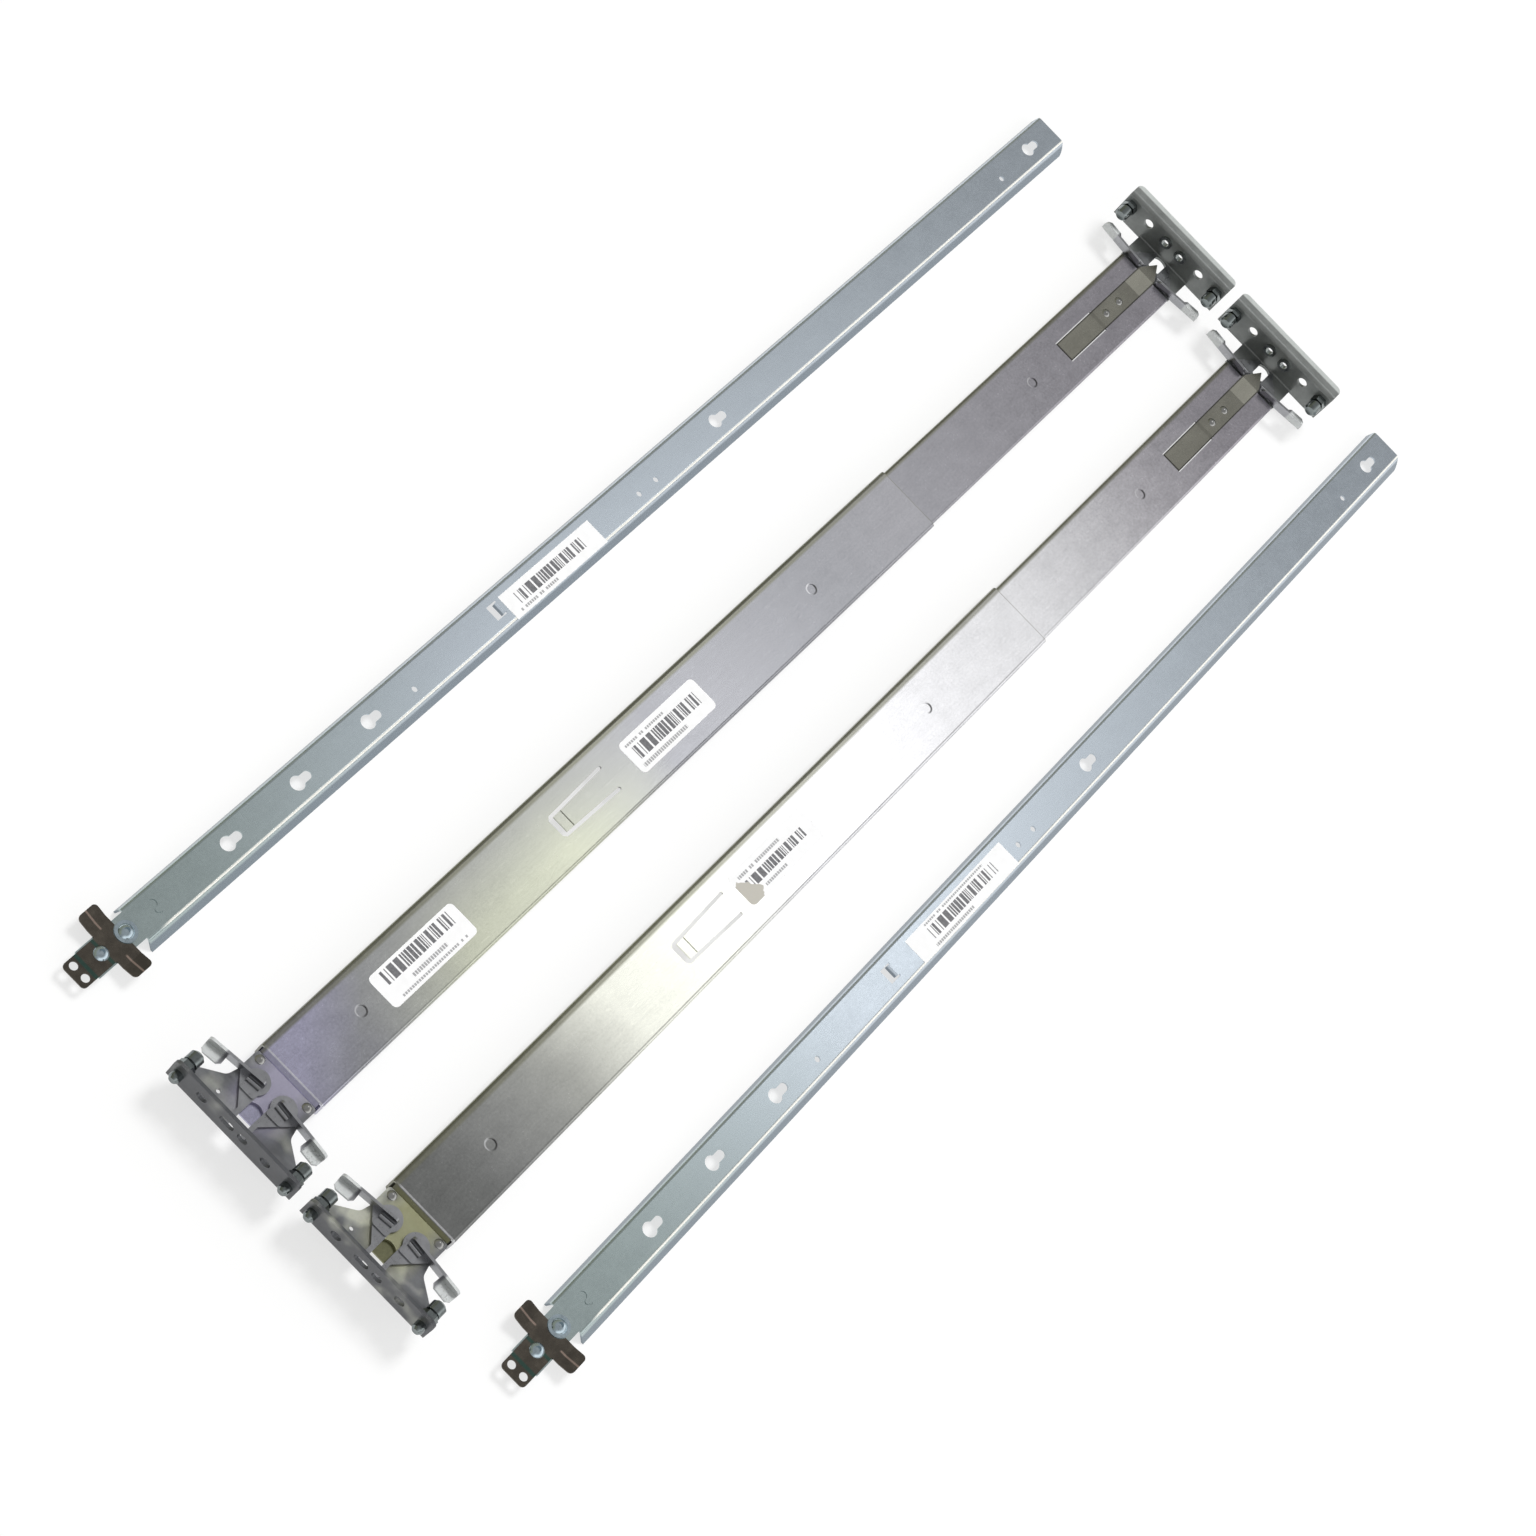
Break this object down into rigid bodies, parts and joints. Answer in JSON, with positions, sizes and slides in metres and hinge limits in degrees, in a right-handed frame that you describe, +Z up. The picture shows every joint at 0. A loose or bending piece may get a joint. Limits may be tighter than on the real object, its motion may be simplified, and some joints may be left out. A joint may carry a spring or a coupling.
{
  "type": "sliding server rail pair",
  "caption": "Pair of adjustable sliding rack rails with pinned end brackets and spring-return release levers, and their detached inner rails with keyholes and release clips.",
  "frame": {"origin": "on the resting plane, under the middle of the whole set in plan", "axes": "+X from the front flanges to the rear flanges along the rails, +Y towards the left assembly, +Z up through the channel webs"},
  "size_m": [0.9202, 0.334, 0.032],
  "materials": {
    "outer_rail_zinc": "galvanised, faintly mottled",
    "inner_rail_zinc": "bluish zinc plate",
    "bracket_steel": "plated",
    "lever_steel": "plated",
    "pin_zinc": "blue-green zinc plate",
    "rivet_steel": "bright",
    "stud_zinc": "bright zinc plate",
    "spring_steel": "olive-grey stainless",
    "clip_steel": "dark stainless"
  },
  "bodies": {
    "front_rails": {"left_front_section": "outer_rail_zinc", "left_front_bracket": "bracket_steel", "left_front_pins": "pin_zinc", "left_ear_rivets": "rivet_steel", "right_front_section": "outer_rail_zinc", "right_front_bracket": "bracket_steel", "right_front_pins": "pin_zinc", "right_ear_rivets": "rivet_steel"},
    "left_rear_end": {"left_rear_section": "outer_rail_zinc", "left_rear_bracket": "bracket_steel", "left_rear_pins": "pin_zinc", "left_rear_inserts": "stud_zinc", "left_leaf_spring": "spring_steel", "left_leaf_rivets": "rivet_steel"},
    "left_inner": {"left_inner_rail": "inner_rail_zinc", "left_release_clip": "clip_steel", "left_clip_rivet": "stud_zinc", "left_stop_stud": "stud_zinc"},
    "left_front_upper_lever": {"left_front_upper_lever": "lever_steel", "left_front_upper_pivot": "rivet_steel"},
    "left_front_lower_lever": {"left_front_lower_lever": "lever_steel", "left_front_lower_pivot": "rivet_steel"},
    "left_rear_upper_lever": {"left_rear_upper_lever": "lever_steel", "left_rear_upper_pivot": "rivet_steel"},
    "left_rear_lower_lever": {"left_rear_lower_lever": "lever_steel", "left_rear_lower_pivot": "rivet_steel"},
    "right_rear_end": {"right_rear_section": "outer_rail_zinc", "right_rear_bracket": "bracket_steel", "right_rear_pins": "pin_zinc", "right_rear_inserts": "stud_zinc", "right_leaf_spring": "spring_steel", "right_leaf_rivets": "rivet_steel"},
    "right_inner": {"right_inner_rail": "inner_rail_zinc", "right_release_clip": "clip_steel", "right_clip_rivet": "stud_zinc", "right_stop_stud": "stud_zinc"},
    "right_front_upper_lever": {"right_front_upper_lever": "lever_steel", "right_front_upper_pivot": "rivet_steel"},
    "right_front_lower_lever": {"right_front_lower_lever": "lever_steel", "right_front_lower_pivot": "rivet_steel"},
    "right_rear_upper_lever": {"right_rear_upper_lever": "lever_steel", "right_rear_upper_pivot": "rivet_steel"},
    "right_rear_lower_lever": {"right_rear_lower_lever": "lever_steel", "right_rear_lower_pivot": "rivet_steel"}
  },
  "joints": [
    {"name": "left_rear_slide", "type": "slide", "parent": "front_rails", "child": "left_rear_end", "axis": [1, 0, 0], "range_m": [-0.195, 0.029]},
    {"name": "left_inner_slide", "type": "slide", "parent": "front_rails", "child": "left_inner", "axis": [-1, 0, 0], "range_m": [0, 0.6]},
    {"name": "left_front_upper_lever_turn", "type": "hinge", "parent": "front_rails", "child": "left_front_upper_lever", "pos_m": [-0.4286, 0.0461, 0.0138], "axis": [0, 0, 1], "range_deg": [0, 7], "stiffness_Nm_per_rad": 0.02},
    {"name": "left_front_lower_lever_turn", "type": "hinge", "parent": "front_rails", "child": "left_front_lower_lever", "pos_m": [-0.4286, 0.0281, 0.0138], "axis": [0, 0, -1], "range_deg": [0, 7], "stiffness_Nm_per_rad": 0.02},
    {"name": "left_rear_upper_lever_turn", "type": "hinge", "parent": "left_rear_end", "child": "left_rear_upper_lever", "pos_m": [0.4123, 0.0461, 0.0112], "axis": [0, 0, -1], "range_deg": [0, 7], "stiffness_Nm_per_rad": 0.02},
    {"name": "left_rear_lower_lever_turn", "type": "hinge", "parent": "left_rear_end", "child": "left_rear_lower_lever", "pos_m": [0.4123, 0.0281, 0.0112], "axis": [0, 0, 1], "range_deg": [0, 7], "stiffness_Nm_per_rad": 0.02},
    {"name": "right_rear_slide", "type": "slide", "parent": "front_rails", "child": "right_rear_end", "axis": [1, 0, 0], "range_m": [-0.195, 0.029]},
    {"name": "right_inner_slide", "type": "slide", "parent": "front_rails", "child": "right_inner", "axis": [-1, 0, 0], "range_m": [0, 0.6]},
    {"name": "right_front_upper_lever_turn", "type": "hinge", "parent": "front_rails", "child": "right_front_upper_lever", "pos_m": [-0.4286, -0.0481, 0.0138], "axis": [0, 0, 1], "range_deg": [0, 7], "stiffness_Nm_per_rad": 0.02},
    {"name": "right_front_lower_lever_turn", "type": "hinge", "parent": "front_rails", "child": "right_front_lower_lever", "pos_m": [-0.4286, -0.0661, 0.0138], "axis": [0, 0, -1], "range_deg": [0, 7], "stiffness_Nm_per_rad": 0.02},
    {"name": "right_rear_upper_lever_turn", "type": "hinge", "parent": "right_rear_end", "child": "right_rear_upper_lever", "pos_m": [0.4123, -0.0481, 0.0112], "axis": [0, 0, -1], "range_deg": [0, 7], "stiffness_Nm_per_rad": 0.02},
    {"name": "right_rear_lower_lever_turn", "type": "hinge", "parent": "right_rear_end", "child": "right_rear_lower_lever", "pos_m": [0.4123, -0.0661, 0.0112], "axis": [0, 0, 1], "range_deg": [0, 7], "stiffness_Nm_per_rad": 0.02}
  ]
}
